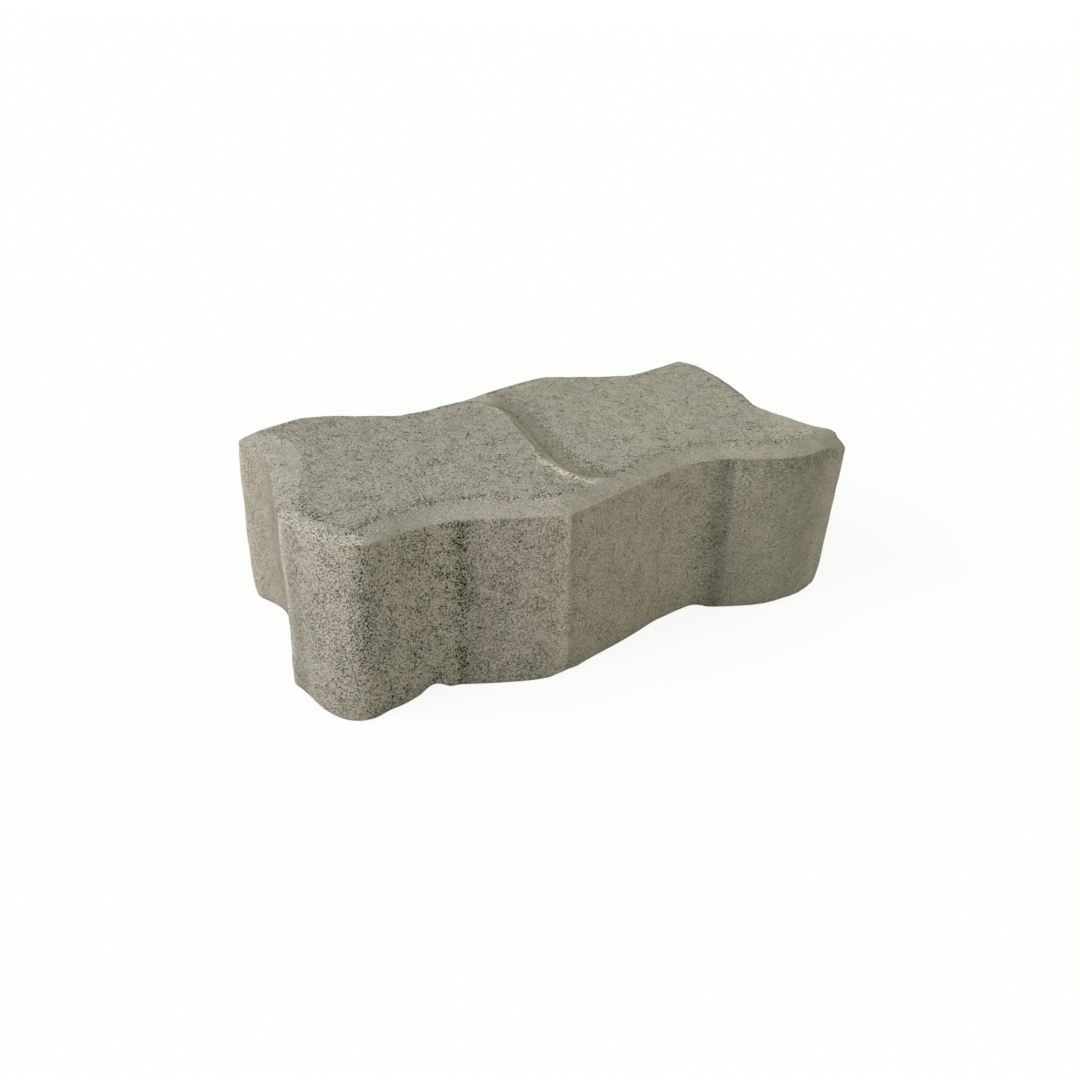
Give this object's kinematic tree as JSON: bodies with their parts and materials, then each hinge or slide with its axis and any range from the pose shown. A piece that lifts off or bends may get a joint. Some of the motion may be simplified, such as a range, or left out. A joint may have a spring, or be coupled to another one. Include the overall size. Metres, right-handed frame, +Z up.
{
  "type": "concrete paving stone",
  "caption": "Interlocking concrete paving stone with waved sides and ends, a bevelled top edge and a shallow false joint across the middle.",
  "frame": {"origin": "middle of the two-module laying grid, on the underside", "axes": "+X along the length, +Y across towards the back, +Z up out of the wearing face"},
  "size_m": [0.2429, 0.127, 0.07],
  "materials": {
    "concrete": "fine sandy pressed concrete, dull, lightly pitted"
  },
  "bodies": {
    "root": {"paving_stone": "concrete"}
  },
  "joints": []
}
